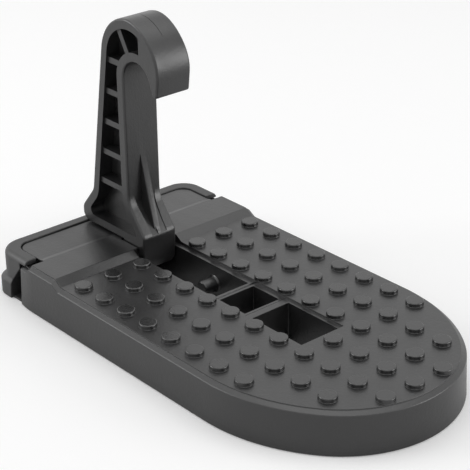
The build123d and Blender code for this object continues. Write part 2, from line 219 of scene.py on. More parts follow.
# Pockets in the arm's sides, their level ribs, the slanting rib off the throat and the crown's parting line
FLANGE = 3.3
WEB_HALF = 1.6
POCKET_SPINE = ((-9.898, 70.625, 0), (-18.796, 16.287, 9.3))
POCKET_HEEL = (-25.92, HEEL + FLANGE, 2.0)
POCKET_FOOT = (2.68, HEEL + FLANGE, 0.6)
POCKET_FRONT = (FRONT - FLANGE, 17.69, 11.3)
POCKET_MOUTH = (78.7, 60.9)
ARM_RIBS = 5
ARM_RIB_FIRST = 22.55
ARM_RIB_PITCH = 11.2
ARM_RIB_ENDS = (-40, 10)
ARM_RIB_RECESS = 0.8
SLANT = 120
SLANT_ENDS = (8.5, 30)
SEAM_ENDS = (48, 95)
SEAM = 0.1

# Edges rounded in the pockets: their span from the arm's middle, and the height above which they lie
INNER_EDGES = (1.7, 5.25)
INNER_EDGES_ABOVE = 5.5

# Recesses of the arm's front: the outline of one as (y, z), the height on each side at which its back turns
# forward, and the foot at which it ends
RECESS_OUTLINE = ((0.5, 26), (4.9, 26), (3.9, 19), (3.1, 12), (3.0, 5), (0.5, 5))
RECESS_TURNS = ((-1, 16.1), (1, 17.9))
RECESS_BACK = FRONT + 0.005
RECESS_ROUND = 7
RECESS_FOOT = (6.4, 7.9)
RECESS_FRONT = 14
RECESS_REACH = (16, 30)

# Gusset between the recesses, with its foot's places as (x, z)
GUSSET_HALF = 1.2
GUSSET_ROOT = FRONT - 1.6
GUSSET_TOP = 35.7
GUSSET_FOOT = ((4.2, 0), (4.9, 6.5), (4.75, 9.6))
GUSSET_ROUND = 0.3

# Studs, clear of the deck's edge and of the channel, with their foot's flare as shares (out, up) of it
STUD_PITCH_X = 11.23
STUD_PITCH_Y = 11.85
STUD_ROWS = 3
STUD_COLUMNS = 14
FIRST_STUD = PIVOT_X + 11.15
STUD_MARGIN = 3.9
STUD_CLEAR = 2.95
STUD_FLARE = ((1, -1), (0.8, 0), (0.25, 0.35), (0, 1))
STUD_TAPER = 0.04
STUD_SIDES = 40
STUD_WELD = 0.001

# Floor and lamps, in metres. A lamp has a name, a place, the point that it is aimed at and a width.
FLOOR_HALF = 4.0
FLOOR_DROP = 0.0002
LAMPS = (
    ("top softbox", (-0.05, 0.10, 1.0), (0, 0, 0.01), 1.0),
    ("left softbox", (-0.75, -0.75, 0.55), (-0.02, 0, 0.03), 0.7),
    ("far softbox", (0.93, 0.70, 0.30), (0, 0, 0.05), 0.7),
)

# Camera, solved from the photograph's perspective
CAMERA_AZIMUTH = 49.578
CAMERA_ELEVATION = 25.856
CAMERA_ROLL = -0.796
CAMERA_FOCAL_PIXELS = 1587.92
CAMERA_FRAME = 470
CAMERA_PLACE = (338.855, -292.164, 252.296)
CAMERA_SENSOR = 36.0
CAMERA_CLIP = (0.02, 20)


def arc(cx, cy, radius, start, end, count):
    """Points along an arc, angles in degrees, both ends included."""
    steps = [radians(start + (end - start) * i / (count - 1)) for i in range(count)]
    return [(cx + radius * cos(a), cy + radius * sin(a)) for a in steps]


def rounded(corners, steps=8):
    """A closed polyline through (x, y, radius) corners, each rounded with an arc."""
    points = []
    for i, (x, y, radius) in enumerate(corners):
        if not radius:
            points.append((x, y))
            continue
        here = Vector((x, y))
        before = (Vector(corners[i - 1][:2]) - here).normalized()
        after = (Vector(corners[(i + 1) % len(corners)][:2]) - here).normalized()
        half = before.angle(after) / 2
        centre = here + (before + after).normalized() * radius / sin(half)
        start = here + before * radius / tan(half) - centre
        end = here + after * radius / tan(half) - centre
        turn = start.angle_signed(end)
        for step in range(steps + 1):
            points.append(tuple(centre + Matrix.Rotation(-turn * step / steps, 2) @ start))
    return points


def rise_at(x):
    """Height of the tread's top above the deck at a place along the step."""
    if x >= RAMP_FOOT or x < CREASE:
        return 0.0
    if x >= RAMP_TOP:
        return RISE * (RAMP_FOOT - x) / (RAMP_FOOT - RAMP_TOP)
    return RISE


def tongue_rise(x):
    """Height of the rear tongue above the deck, a little lower behind the crease."""
    return RISE - REAR_DROP * min(max((CREASE - x) / CREASE_RUN, 0), 1)


def shoulder_half(inset):
    """The far half of the tread's outline from its shoulder to the nose, moved in by the inset."""
    turn = radians(SHOULDER_TURN)
    reach = SHOULDER_CURVE - SHOULDER_CORNER
    start = SHOULDER + SHOULDER_CORNER + reach * sin(turn)
    side = HALF_WIDTH - SHOULDER_CURVE
    radius = max(SHOULDER_CORNER - inset, LEAST_CORNER)
    points = arc(start - reach * sin(turn), side + reach * cos(turn), radius, 180, 90 + SHOULDER_TURN, 8)
    points += arc(start, side, SHOULDER_CURVE - inset, 90 + SHOULDER_TURN, 90, 5)[1:]
    stops = [RAMP_TOP - RAMP_BESIDE, RAMP_TOP - RAMP_TOP_BEND, RAMP_TOP + RAMP_TOP_BEND]
    stops += [RAMP_FOOT - RAMP_FOOT_BEND, RAMP_FOOT + RAMP_FOOT_BEND, RAMP_FOOT + RAMP_BESIDE]
    stops += [*SIDE_STOPS, SIDE_CENTRE]
    points += [(x, HALF_WIDTH - inset) for x in stops]
    side_y = HALF_WIDTH - SIDE_RADIUS
    points += arc(SIDE_CENTRE, side_y, SIDE_RADIUS - inset, 90, NOSE_SWEEP, 26)[1:]
    points += arc(NOSE_CENTRE, 0, NOSE_RADIUS - inset, NOSE_SWEEP, 0, 40)[1:]
    return points


def tongue_half(inset):
    """The far half of the rear tongue's outline, moved in by the inset."""
    corner = TONGUE_CORNER - inset
    points = arc(BODY_REAR + TONGUE_CORNER, TONGUE_HALF - TONGUE_CORNER, corner, 180, 90, 10)
    bends = (CREASE - CREASE_RUN, CREASE)
    stops = [x + side * CREASE_BEND for x in bends for side in (-1, 1)]
    return points + [(x, TONGUE_HALF - inset) for x in (*stops, TONGUE_FRONT)]


def rubber_half(shift):
    """The far half of the bumper's outline, moved in by a share of the bulge at its foot."""
    back = REAR + BULGE_REAR * shift
    half = RUBBER_HALF + BULGE_SIDE * (1 - shift)
    over = max(shift - 1, 0)
    corner = RUBBER_CORNER - BULGE_CORNER * (1 - min(shift, 1)) - BULGE_REAR * over
    if over:
        half = RUBBER_HALF - BULGE_REAR * over
    points = arc(back + corner, half - corner, corner, 180, 90, 14)
    return points + [(x, half) for x in (RUBBER_STOP, SHOULDER, CREASE)]


@contextmanager
def edited(mesh):
    """A mesh opened for editing, and written back afterwards."""
    work = bmesh.new()
    work.from_mesh(mesh)
    yield work
    work.to_mesh(mesh)
    work.free()


def mesh_object(name, points, faces):
    """A mesh object from points in millimetres, with its faces turned outwards."""
    mesh = bpy.data.meshes.new(name)
    mesh.from_pydata([tuple(p) for p in points], [], faces)
    with edited(mesh) as work:
        bmesh.ops.remove_doubles(work, verts=work.verts, dist=WELD)
        bmesh.ops.recalc_face_normals(work, faces=work.faces)
    result = bpy.data.objects.new(name, mesh)
    bpy.context.scene.collection.objects.link(result)
    return result


def loft(name, half_outline, rings, rise=None):
    """A closed loft over a mirrored half outline through (inset, height, follows the rise) rings."""
    points, faces = [], []
    for inset, height, follows in rings:
        half = half_outline(inset)
        other = [(x, -y) for x, y in reversed(half) if abs(y) > WELD]
        ring = half + other
        count = len(ring)
        points += [(x, y, height + (rise(x) if follows else 0)) for x, y in ring]
    for level in range(len(rings) - 1):
        low, high = level * count, (level + 1) * count
        for i in range(count):
            j = (i + 1) % count
            faces.append((low + i, low + j, high + j, high + i))
    for base in (0, (len(rings) - 1) * count):
        far, near = 0, count - 1
        while near - 1 > far + 1:
            faces.append((base + far, base + far + 1, base + near - 1, base + near))
            far, near = far + 1, near - 1
        if near - 1 == far + 1:
            faces.append((base + far, base + far + 1, base + near))
    return mesh_object(name, points, faces)


def prism(name, loop, low, high, along="Z"):
    """A prism along an axis: over a plan loop, a side loop of (x, z) or a front loop of (y, z)."""
    place = {
        "Z": lambda a, b, c: (a, b, c),
        "Y": lambda a, b, c: (a, c, b),
        "X": lambda a, b, c: (c, a, b),
    }[along]
    count = len(loop)
    points = [place(a, b, low) for a, b in loop] + [place(a, b, high) for a, b in loop]
    faces = [(i, (i + 1) % count, (i + 1) % count + count, i + count) for i in range(count)]
    faces += [tuple(range(count)), tuple(range(2 * count - 1, count - 1, -1))]
    return mesh_object(name, points, faces)


def block(name, x0, x1, y0, y1, z0, z1, radius=0.0):
    """A block between two corners, its upright edges rounded if a radius is given."""
    corners = [(x0, y0, radius), (x1, y0, radius), (x1, y1, radius), (x0, y1, radius)]
    return prism(name, rounded(corners, 5), z0, z1)


def turned(name, profile, centre, axis="Y", count=36):
    """A solid turned about an axis from (radius, place along the axis) pairs."""
    points, faces = [], []
    for radius, along in profile:
        for i in range(count):
            a = 2 * pi * i / count
            u, v = radius * cos(a), radius * sin(a)
            spot = (u, along, v) if axis == "Y" else (along, u, v)
            points.append(tuple(c + p for c, p in zip(centre, spot)))
    for level in range(len(profile) - 1):
        for i in range(count):
            j = (i + 1) % count
            low, high = level * count, (level + 1) * count
            faces.append((low + i, low + j, high + j, high + i))
    last = (len(profile) - 1) * count
    faces += [tuple(range(count)), tuple(range(last + count - 1, last - 1, -1))]
    return mesh_object(name, points, faces)


def evaluated_mesh(obj):
    """The object's mesh with its modifiers, as a plain mesh."""
    graph = bpy.context.evaluated_depsgraph_get()
    graph.update()
    return bpy.data.meshes.new_from_object(obj.evaluated_get(graph), depsgraph=graph)


def settle(obj):
    """Turns the object's modifiers into its mesh."""
    mesh = evaluated_mesh(obj)
    obj.modifiers.clear()
    old = obj.data
    obj.data = mesh
    bpy.data.meshes.remove(old)
    mesh.name = obj.name


def use_up(obj):
    """Takes an object and its mesh away."""
    mesh = obj.data
    bpy.data.objects.remove(obj)
    bpy.data.meshes.remove(mesh)


def joined(first, *others):
    """Several separate solids as one object, for a single cut or join."""
    with edited(first.data) as work:
        for obj in others:
            work.from_mesh(obj.data)
    for obj in others:
        use_up(obj)
    return first


def combine(obj, tool, operation="DIFFERENCE", crossing=False):
    """Cuts with, joins or keeps the overlap with another solid, which is used up and may cross itself."""
    step = obj.modifiers.new("solid", "BOOLEAN")
    step.operation = operation
    step.solver = "EXACT"
    step.use_self = crossing
    step.object = tool
    settle(obj)
    use_up(tool)
    return obj


def round_edges(obj, width, where, segments=2, angle=50):
    """Rounds the edges sharper than an angle whose middles pass the test."""
    with edited(obj.data) as work:
        edges = []
        for edge in work.edges:
            if len(edge.link_faces) == 2 and edge.calc_face_angle(0) > radians(angle):
                middle = (edge.verts[0].co + edge.verts[1].co) / 2
                if where(middle):
                    edges.append(edge)
        bmesh.ops.bevel(work, geom=edges, offset=width, offset_type="OFFSET", segments=segments,
                        profile=0.5, affect="EDGES", clamp_overlap=False, miter_outer="ARC")


def merge_flat(obj):
    """Merges the coplanar faces that joining and cutting leave behind."""
    with edited(obj.data) as work:
        bmesh.ops.remove_doubles(work, verts=work.verts, dist=CUT_WELD)
        bmesh.ops.dissolve_degenerate(work, edges=work.edges, dist=CUT_WELD)
        bmesh.ops.dissolve_limit(work, angle_limit=radians(FLAT_ANGLE), verts=work.verts, edges=work.edges)


def finish_piece(obj, body, nodes, material):
    """Brings a piece to metres, shades it, gives it its material and ties it to its body."""
    obj.data.transform(Matrix.Scale(MM, 4))
    obj.data.shade_smooth()
    obj.data.set_sharp_from_angle(angle=radians(SHARP_ANGLE))
    weights = obj.modifiers.new("normals", "WEIGHTED_NORMAL")
    weights.keep_sharp = True
    settle(obj)
    obj.data.materials.clear()
    obj.data.materials.append(material)
    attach(obj, body)
    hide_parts(*nodes)


def new_material(name):
    """An empty node material with its shader, output and object coordinates."""
    material = bpy.data.materials.new(name)
    material.use_nodes = True
    tree = material.node_tree
    tree.nodes.clear()
    output = tree.nodes.new("ShaderNodeOutputMaterial")
    shader = tree.nodes.new("ShaderNodeBsdfPrincipled")
    tree.links.new(shader.outputs["BSDF"], output.inputs["Surface"])
    place = tree.nodes.new("ShaderNodeTexCoord")
    return material, tree, shader, place.outputs["Object"]


def set_inputs(node, values):
    """Sets some of a node's inputs by their names."""
    for name, value in values.items():
        node.inputs[name].default_value = value


def tinted(colour, factor):
    """A colour made lighter or darker by a factor."""
    return tuple(channel * factor for channel in colour)


def noise(tree, place, scale, detail=3.0, rough=0.55, stretch=None):
    """Noise on object coordinates, drawn out along an axis where a stretch is given."""
    if stretch:
        mapping = tree.nodes.new("ShaderNodeMapping")
        set_inputs(mapping, {"Scale": stretch})
        tree.links.new(place, mapping.inputs["Vector"])
        place = mapping.outputs["Vector"]
    node = tree.nodes.new("ShaderNodeTexNoise")
    set_inputs(node, {"Scale": scale, "Detail": detail, "Roughness": rough})
    tree.links.new(place, node.inputs["Vector"])
    return node.outputs["Fac"]


def to_range(tree, value, low, high, source_low=0.3, source_high=0.7):
    """Maps a noise value to a range."""
    node = tree.nodes.new("ShaderNodeMapRange")
    set_inputs(node, {"From Min": source_low, "From Max": source_high, "To Min": low, "To Max": high})
    tree.links.new(value, node.inputs["Value"])
    return node.outputs["Result"]


def mix_colour(tree, factor, first, second):
    """Mixes two colours or sockets by a factor."""
    node = tree.nodes.new("ShaderNodeMix")
    node.data_type = "RGBA"
    tree.links.new(factor, node.inputs["Factor"])
    for name, value in (("A", first), ("B", second)):
        socket = [s for s in node.inputs if s.name == name and s.type == "RGBA"][0]
        if isinstance(value, bpy.types.NodeSocket):
            tree.links.new(value, socket)
        else:
            socket.default_value = (*value, 1)
    return [s for s in node.outputs if s.type == "RGBA"][0]


def bump(tree, height, depth, strength, before=None):
    """A bump from a height value."""
    node = tree.nodes.new("ShaderNodeBump")
    set_inputs(node, {"Distance": depth, "Strength": strength})
    tree.links.new(height, node.inputs["Height"])
    if before:
        tree.links.new(before, node.inputs["Normal"])
    return node.outputs["Normal"]


def moulding_material(name, colour, roughness, grain, lines=0.0):
    """Black moulded plastic with a fine eroded texture, faint flow marks and the mould's tool lines."""
    material, tree, shader, place = new_material(name)
    patches = noise(tree, place, scale=28, detail=4)
    specks = noise(tree, place, scale=1900, detail=2, rough=0.6)
    flow = noise(tree, place, scale=90, rough=0.5, stretch=(0.25, 1, 1))
    base = mix_colour(tree, to_range(tree, patches, 0, 1), tinted(colour, 0.86), tinted(colour, 1.22))
    share = to_range(tree, specks, 0, 0.5, source_low=0.55, source_high=0.8)
    base = mix_colour(tree, share, base, tinted(colour, 1.7))
    tree.links.new(base, shader.inputs["Base Color"])
    worn = to_range(tree, flow, roughness - 0.05, roughness + 0.06)
    tree.links.new(worn, shader.inputs["Roughness"])
    normal = bump(tree, specks, depth=grain, strength=0.5)
    normal = bump(tree, noise(tree, place, scale=700), depth=grain * 2.5, strength=0.25, before=normal)
    if lines:
        tool = noise(tree, place, scale=1500, detail=2, rough=0.6, stretch=(0.05, 1, 0.05))
        normal = bump(tree, tool, depth=lines, strength=0.5, before=normal)
    tree.links.new(normal, shader.inputs["Normal"])
    shader.inputs["Specular IOR Level"].default_value = 0.77
    return material


def rubber_material(name, colour):
    """Matte black rubber with a soft bloom and a fine grain."""
    material, tree, shader, place = new_material(name)
    bloom = noise(tree, place, scale=45, detail=4, rough=0.6)
    grain = noise(tree, place, scale=1900, rough=0.6)
    base = mix_colour(tree, to_range(tree, bloom, 0, 1), colour, tinted(colour, 1.35))
    tree.links.new(base, shader.inputs["Base Color"])
    tree.links.new(to_range(tree, bloom, 0.5, 0.6), shader.inputs["Roughness"])
    shader.inputs["Specular IOR Level"].default_value = 0.85
    tree.links.new(bump(tree, grain, depth=0.00006, strength=0.5), shader.inputs["Normal"])
    return material


def steel_material(name, colour):
    """Dulled steel with drawn lines along its length and faint stains."""
    material, tree, shader, place = new_material(name)
    lines = noise(tree, place, scale=1500, rough=0.5, stretch=(1, 0.03, 1))
    stains = noise(tree, place, scale=160, detail=4, rough=0.6)
    base = mix_colour(tree, to_range(tree, stains, 0, 0.8), colour, tinted(colour, 0.6))
    tree.links.new(base, shader.inputs["Base Color"])
    tree.links.new(to_range(tree, stains, 0.28, 0.45), shader.inputs["Roughness"])
    tree.links.new(bump(tree, lines, depth=0.00002, strength=0.4), shader.inputs["Normal"])
    shader.inputs["Metallic"].default_value = 1.0
    return material


def circle(x, y, radius, count=32):
    """Points round a circle."""
    return arc(x, y, radius, 0, 360 - 360 / count, count)


def tread_body():
    """The tread's outside: deck, plateau and ramp with their bevelled edge, and the rear tongue."""
    rings = [(inset - DRAFT, height, False) for inset, height in FOOT_PROFILE]
    rings += [(inset, height, True) for inset, height in BEVEL_PROFILE + LIP_PROFILE]
    body = loft("tread", shoulder_half, rings, rise_at)
    rings = [(0, 0, False)] + [(inset, height, True) for inset, height in TONGUE_PROFILE]
    return combine(body, loft("tongue", tongue_half, rings, tongue_rise), "UNION")


def tread_openings(grow, high, radius):
    """Prisms through the deck at the slot and the two wells, grown by a wall."""
    spans = [(SLOT_REAR, SLOT_FRONT, SLOT_HALF), (*SMALL_WELL, SLOT_HALF), (*HOOK_WELL, HOOK_WELL_HALF)]
    return [
        block("opening", x0 - grow, x1 + grow, -half - grow, half + grow, FAR_UNDER, high, radius)
        for x0, x1, half in spans
    ]


def tread_ribs():
    """Walls round the openings, spines, cross ribs, shallow ribs and the cradles of the pin."""
    shallow = DECK - TOP_WALL - SHALLOW_RIB
    ribs = tread_openings(WELL_WALL, OVER, WELL_WALL_CORNER)
    for y in (-SPINE_HALF, SPINE_HALF - RIB):
        ribs.append(block("spine", REAR, NOSE, y, y + RIB, RIB_LIFT, OVER))
    for y in (-LONG_RIB, LONG_RIB):
        ribs.append(block("long rib", REAR, NOSE, y - RIB / 2, y + RIB / 2, shallow, OVER))
    for index in range(CROSS_RIBS):
        x = PIVOT_X + CRADLE_HALF + CROSS_PITCH * index
        ribs.append(block("cross rib", x, x + RIB, -BESIDE, BESIDE, RIB_LIFT, OVER))
        x += CROSS_PITCH / 2
        ribs.append(block("low rib", x, x + RIB, -BESIDE, BESIDE, shallow, OVER))
    for rear, front in ((SLOT_FRONT, SMALL_WELL[0]), (SMALL_WELL[1], HOOK_WELL[0])):
        ribs.append(block("web", rear - BITE, front + BITE, -SLOT_HALF, SLOT_HALF, FAR_UNDER, OVER))
    rear, front = PIVOT_X - CRADLE_HALF, PIVOT_X + CRADLE_HALF
    ribs.append(block("cradle", rear, front, -CRADLE_OUTER, CRADLE_OUTER, CRADLE_LOW, OVER))
    return joined(*ribs)


def tread_hollow():
    """The space under the deck between the ribs."""
    hollow = loft("hollow", shoulder_half, [(WALL, UNDER, False), (WALL, DECK - TOP_WALL, False)])
    high = PLATEAU - TOP_WALL
    tail = loft("hollow tail", tongue_half, [(WALL, UNDER, False), (WALL, high, False)])
    combine(hollow, tail, "UNION")
    side = HALF_WIDTH - WALL
    middle = block("high hollow", SHOULDER + WALL, RAMP_TOP - TOP_WALL, -side, side, UNDER, high)
    combine(hollow, middle, "UNION")
    return combine(hollow, tread_ribs(), crossing=True)


def tread_channel():
    """The shallow channel for the folded arm, and the groove across it."""
    step = SMALL_WELL[1] + (HOOK_WELL[0] - SMALL_WELL[1]) / 3
    middle = (SLOT_FRONT + SMALL_WELL[0]) / 2
    spans = (
        ("channel", RAMP_TOP, step, CHANNEL_FLOOR),
        ("recess", step - BITE, CHANNEL_FRONT, WELL_FLOOR),
        ("groove", middle - GROOVE, middle + GROOVE, CHANNEL_FLOOR - GROOVE),
    )
    channel, *others = [
        block(name, rear, front, -CHANNEL_HALF, CHANNEL_HALF, low, OVER)
        for name, rear, front, low in spans
    ]
    for other in others:
        combine(channel, other, "UNION")
    return channel


def build_tread(look, finish):
    """The moulded tread with its channel, slot, wells, ribs, pin cradles and bosses."""
    tread = combine(tread_body(), tread_channel())
    for opening in tread_openings(0, FAR_OVER, WELL_CORNER):
        combine(tread, opening)
    merge_flat(tread)

    def at_openings(p):
        return abs(p.y) < CHANNEL_HALF + ROUND_BESIDE and p.z > ROUND_ABOVE and p.x > SLOT_REAR - BITE

    round_edges(tread, look.edge_rounding / MM, at_openings)
    combine(tread, tread_hollow())
    rear, front = PIVOT_X - PIN_BORE, PIVOT_X + PIN_BORE
    combine(tread, block("pin slot", rear, front, -PIN_REACH, PIN_REACH, FAR_UNDER, PIVOT_Z))
    combine(tread, prism("pin bore", circle(PIVOT_X, PIVOT_Z, PIN_BORE), -PIN_REACH, PIN_REACH, "Y"))
    for y in PLUG_PLACES:
        combine(tread, prism("plug hole", circle(y, PLUG_HEIGHT, PLUG_HOLE), *PLUG_HOLE_ENDS, "X"))
    for x in (PIVOT_X - PILOT_X, PIVOT_X + PILOT_X):
        for y in (-PILOT_Y, PILOT_Y):
            pilot = circle(x, y, PILOT_RADIUS, 20)
            combine(tread, prism("pilot", pilot, CRADLE_LOW - BITE, CRADLE_LOW + PILOT_DEPTH))
    for side in (-1, 1):
        profile = [(radius, side * reach) for radius, reach in BOSS_PROFILE]
        combine(tread, turned("boss", profile, (BOSS_X, 0, BOSS_Z)), "UNION")
    merge_flat(tread)
    finish_piece(tread, "base", ["step_plate"], finish)


def edge_distance(x, y):
    """Distance from a place on the deck to the tread's outline."""
    y = abs(y)
    if degrees(atan2(y, x - NOSE_CENTRE)) < NOSE_SWEEP:
        return NOSE_RADIUS - hypot(x - NOSE_CENTRE, y)
    if x > SIDE_CENTRE:
        return SIDE_RADIUS - hypot(x - SIDE_CENTRE, y - HALF_WIDTH + SIDE_RADIUS)
    return HALF_WIDTH - y


def stud_places():
    """Centres of the studs on the deck, clear of its edge and of the channel."""
    places = []
    for row in range(-STUD_ROWS, STUD_ROWS + 1):
        for column in range(STUD_COLUMNS):
            x, y = FIRST_STUD + column * STUD_PITCH_X, row * STUD_PITCH_Y
            clear = abs(y) > CHANNEL_HALF or x > CHANNEL_FRONT + STUD_CLEAR
            if clear and edge_distance(x, y) >= STUD_MARGIN:
                places.append((x, y, DECK))
    return places


def tree_input(tree, name, value):
    """A named length input of a node tree, with its default."""
    socket = tree.interface.new_socket(name, in_out="INPUT", socket_type="NodeSocketFloat")
    socket.default_value = value
    return socket.identifier


def stud_tree(finish):
    """Geometry nodes that stand a turned stud on every point: foot, wall, rounded edge and top."""
    tree = bpy.data.node_groups.new("stud field", "GeometryNodeTree")
    new, link = tree.nodes.new, tree.links.new
    tree.interface.new_socket("Places", in_out="INPUT", socket_type="NodeSocketGeometry")
    names = {name: tree_input(tree, name, 1.0) for name in ("Radius", "Height", "Edge", "Foot")}
    tree.interface.new_socket("Studs", in_out="OUTPUT", socket_type="NodeSocketGeometry")
    given = new("NodeGroupInput").outputs
    join = new("GeometryNodeJoinGeometry")

    def maths(operation, *values):
        node = new("ShaderNodeMath")
        node.operation = operation
        for socket, value in zip(node.inputs, values):
            if isinstance(value, bpy.types.NodeSocket):
                link(value, socket)
            else:
                socket.default_value = value
        return node.outputs[0]

    def place(mesh, height):
        lift = new("ShaderNodeCombineXYZ")
        link(height, lift.inputs["Z"])
        move = new("GeometryNodeTransform")
        link(mesh, move.inputs["Geometry"])
        link(lift.outputs[0], move.inputs["Translation"])
        link(move.outputs[0], join.inputs[0])

    radius, height, edge, foot = (given[name] for name in ("Radius", "Height", "Edge", "Foot"))
    levels = []
    for out, up in STUD_FLARE:
        levels.append((maths("MULTIPLY_ADD", foot, out, radius), maths("MULTIPLY", foot, up)))
    base = maths("SUBTRACT", height, edge)
    for turn in (0, 30, 60, 90):
        wide = maths("SUBTRACT", radius, maths("MULTIPLY", edge, 1 - cos(radians(turn))))
        rise = maths("MULTIPLY", edge, sin(radians(turn)))
        levels.append((maths("SUBTRACT", wide, STUD_TAPER), maths("ADD", base, rise)))
    for (low_radius, low), (high_radius, high) in zip(levels, levels[1:]):
        ring = new("GeometryNodeMeshCone")
        ring.fill_type = "NONE"
        ring.inputs["Vertices"].default_value = STUD_SIDES
        link(high_radius, ring.inputs["Radius Top"])
        link(low_radius, ring.inputs["Radius Bottom"])
        link(maths("SUBTRACT", high, low), ring.inputs["Depth"])
        place(ring.outputs["Mesh"], low)
    top = new("GeometryNodeMeshCircle")
    top.fill_type = "NGON"
    top.inputs["Vertices"].default_value = STUD_SIDES
    link(levels[-1][0], top.inputs["Radius"])
    place(top.outputs["Mesh"], levels[-1][1])
    stand = new("GeometryNodeInstanceOnPoints")
    link(given["Places"], stand.inputs["Points"])
    link(join.outputs[0], stand.inputs["Instance"])
    real = new("GeometryNodeRealizeInstances")
    link(stand.outputs[0], real.inputs[0])
    weld = new("GeometryNodeMergeByDistance")
    weld.inputs["Distance"].default_value = STUD_WELD
    link(real.outputs[0], weld.inputs["Geometry"])
    paint = new("GeometryNodeSetMaterial")
    paint.inputs["Material"].default_value = finish
    link(weld.outputs[0], paint.inputs["Geometry"])
    output = new("NodeGroupOutput")
    link(paint.outputs[0], output.inputs[0])
    return tree, names


def build_studs(look, finish):
    """The round studs of the deck."""
    studs = mesh_object("tread_studs", stud_places(), [])
    field = studs.modifiers.new("studs", "NODES")
    field.node_group, names = stud_tree(finish)
    sizes = (look.stud_radius, look.stud_height, look.stud_edge, look.stud_foot)
    for identifier, value in zip(names.values(), sizes):
        field[identifier] = value / MM
    settle(studs)
    with edited(studs.data) as work:
        bmesh.ops.holes_fill(work, edges=[e for e in work.edges if e.is_boundary], sides=0)
        bmesh.ops.recalc_face_normals(work, faces=work.faces)
    finish_piece(studs, "base", ["step_plate"], finish)


def crown_line(start, end, count, shift=0.0):
    """Points over the crown, which is a little flatter towards the hook's tip than a circle."""
    x, z, radius = CROWN
    points = []
    for index in range(count):
        angle = start + (end - start) * index / (count - 1)
        share = min(max((angle - CROWN_START) / (CROWN_FLAT_END - CROWN_START), 0), 1)
        reach = radius + shift - CROWN_FLAT * sin(radians(180 * share)) ** 2
        points.append((x + reach * cos(radians(angle)), z + reach * sin(radians(angle))))
    return points


def arm_outline():
    """Side view of the arm about its pivot: spine, heel, hub, foot, throat, tip and crown."""
    x, z, radius = CROWN
    lean = radians(SPINE_LEAN)
    top = (x - radius * cos(lean), z + radius * sin(lean), 0)
    bend = top[0] - (top[1] - SPINE_FOOT) * tan(lean)
    corners = [top, (bend, SPINE_FOOT, SPINE_BEND), *HEEL_CORNERS, (-HUB, HEEL, 0)]
    corners += [(*p, 0) for p in arc(0, 0, HUB, 180, 360, 24)]
    corners += [(HUB, HUB_TOP, 0), *FRONT_FOOT]
    corners += [(*p, 0) for p in arc(*THROAT, 180, THROAT_END, 28)]
    corners += [(x, TIP, TIP_CORNER) for x in TIP_SPAN]
    corners += [(*p, 0) for p in crown_line(CROWN_START, 180 - SPINE_LEAN, 60)]
    return rounded(corners)


def pocket_outline():
    """Side pocket of the arm: its outline moved in by the flange, above the hub and off the tip."""
    corners = [*POCKET_SPINE, POCKET_HEEL, POCKET_FOOT, POCKET_FRONT]
    x, z, radius = THROAT
    corners += [(*p, 0) for p in arc(x, z, radius + FLANGE, 180, POCKET_MOUTH[0], 24)]
    x, z, radius = CROWN
    corners += [(*p, 0) for p in arc(x, z, radius - FLANGE, POCKET_MOUTH[1], 180 - SPINE_LEAN, 40)]
    return rounded(corners)


def on_both_sides(name, outline, near, far):
    """Prisms over a side view on both sides of the arm, as one object."""
    return joined(prism(name, outline, near, far, "Y"), prism(name, outline, -far, -near, "Y"))


def arm_cells(rib):
    """The deep cells of both pockets, with the level ribs and the slanting one left out."""
    cells = on_both_sides("cells", pocket_outline(), WEB_HALF, PAST_ARM)
    loops = []
    for index in range(ARM_RIBS):
        z = ARM_RIB_FIRST + ARM_RIB_PITCH * index
        rear, front = ARM_RIB_ENDS
        loops.append([(rear, z - rib / 2), (front, z - rib / 2), (front, z + rib / 2), (rear, z + rib / 2)])
    along = Vector((cos(radians(SLANT)), sin(radians(SLANT))))
    across = Vector((-along.y, along.x)) * rib / 2
    start = Vector(THROAT[:2])
    low, high = SLANT_ENDS
    ends = ((low, -1), (high, -1), (high, 1), (low, 1))
    loops.append([start + along * reach + across * side for reach, side in ends])
    bars = [prism("bar", loop, -FAR_PAST_ARM, FAR_PAST_ARM, "Y") for loop in loops]
    return combine(cells, joined(*bars))


def front_recess(side, turn):
    """The recess on one side of the arm's front gusset, whose back turns forward at a height."""
    hollow = prism("hollow", [(side * y, z) for y, z in RECESS_OUTLINE], FRONT - BITE, RECESS_FRONT, "X")
    ahead, top = RECESS_REACH
    corners = [(RECESS_BACK, top, 0), (RECESS_BACK, turn, RECESS_ROUND), (*RECESS_FOOT, 0)]
    corners += [(ahead, RECESS_FOOT[1], 0), (ahead, top, 0)]
    profile = prism("hollow side", rounded(corners), -PAST_ARM, PAST_ARM, "Y")
    return combine(hollow, profile, "INTERSECT")


def front_gusset():
    """The straight gusset up the middle of the arm's front."""
    loop = [(GUSSET_ROOT, GUSSET_TOP), (GUSSET_ROOT, 0), *GUSSET_FOOT, (FRONT, GUSSET_TOP)]
    gusset = prism("gusset", loop, -GUSSET_HALF, GUSSET_HALF, "Y")
    round_edges(gusset, GUSSET_ROUND, lambda p: p.x > FRONT + GUSSET_ROUND, angle=60)
    return gusset


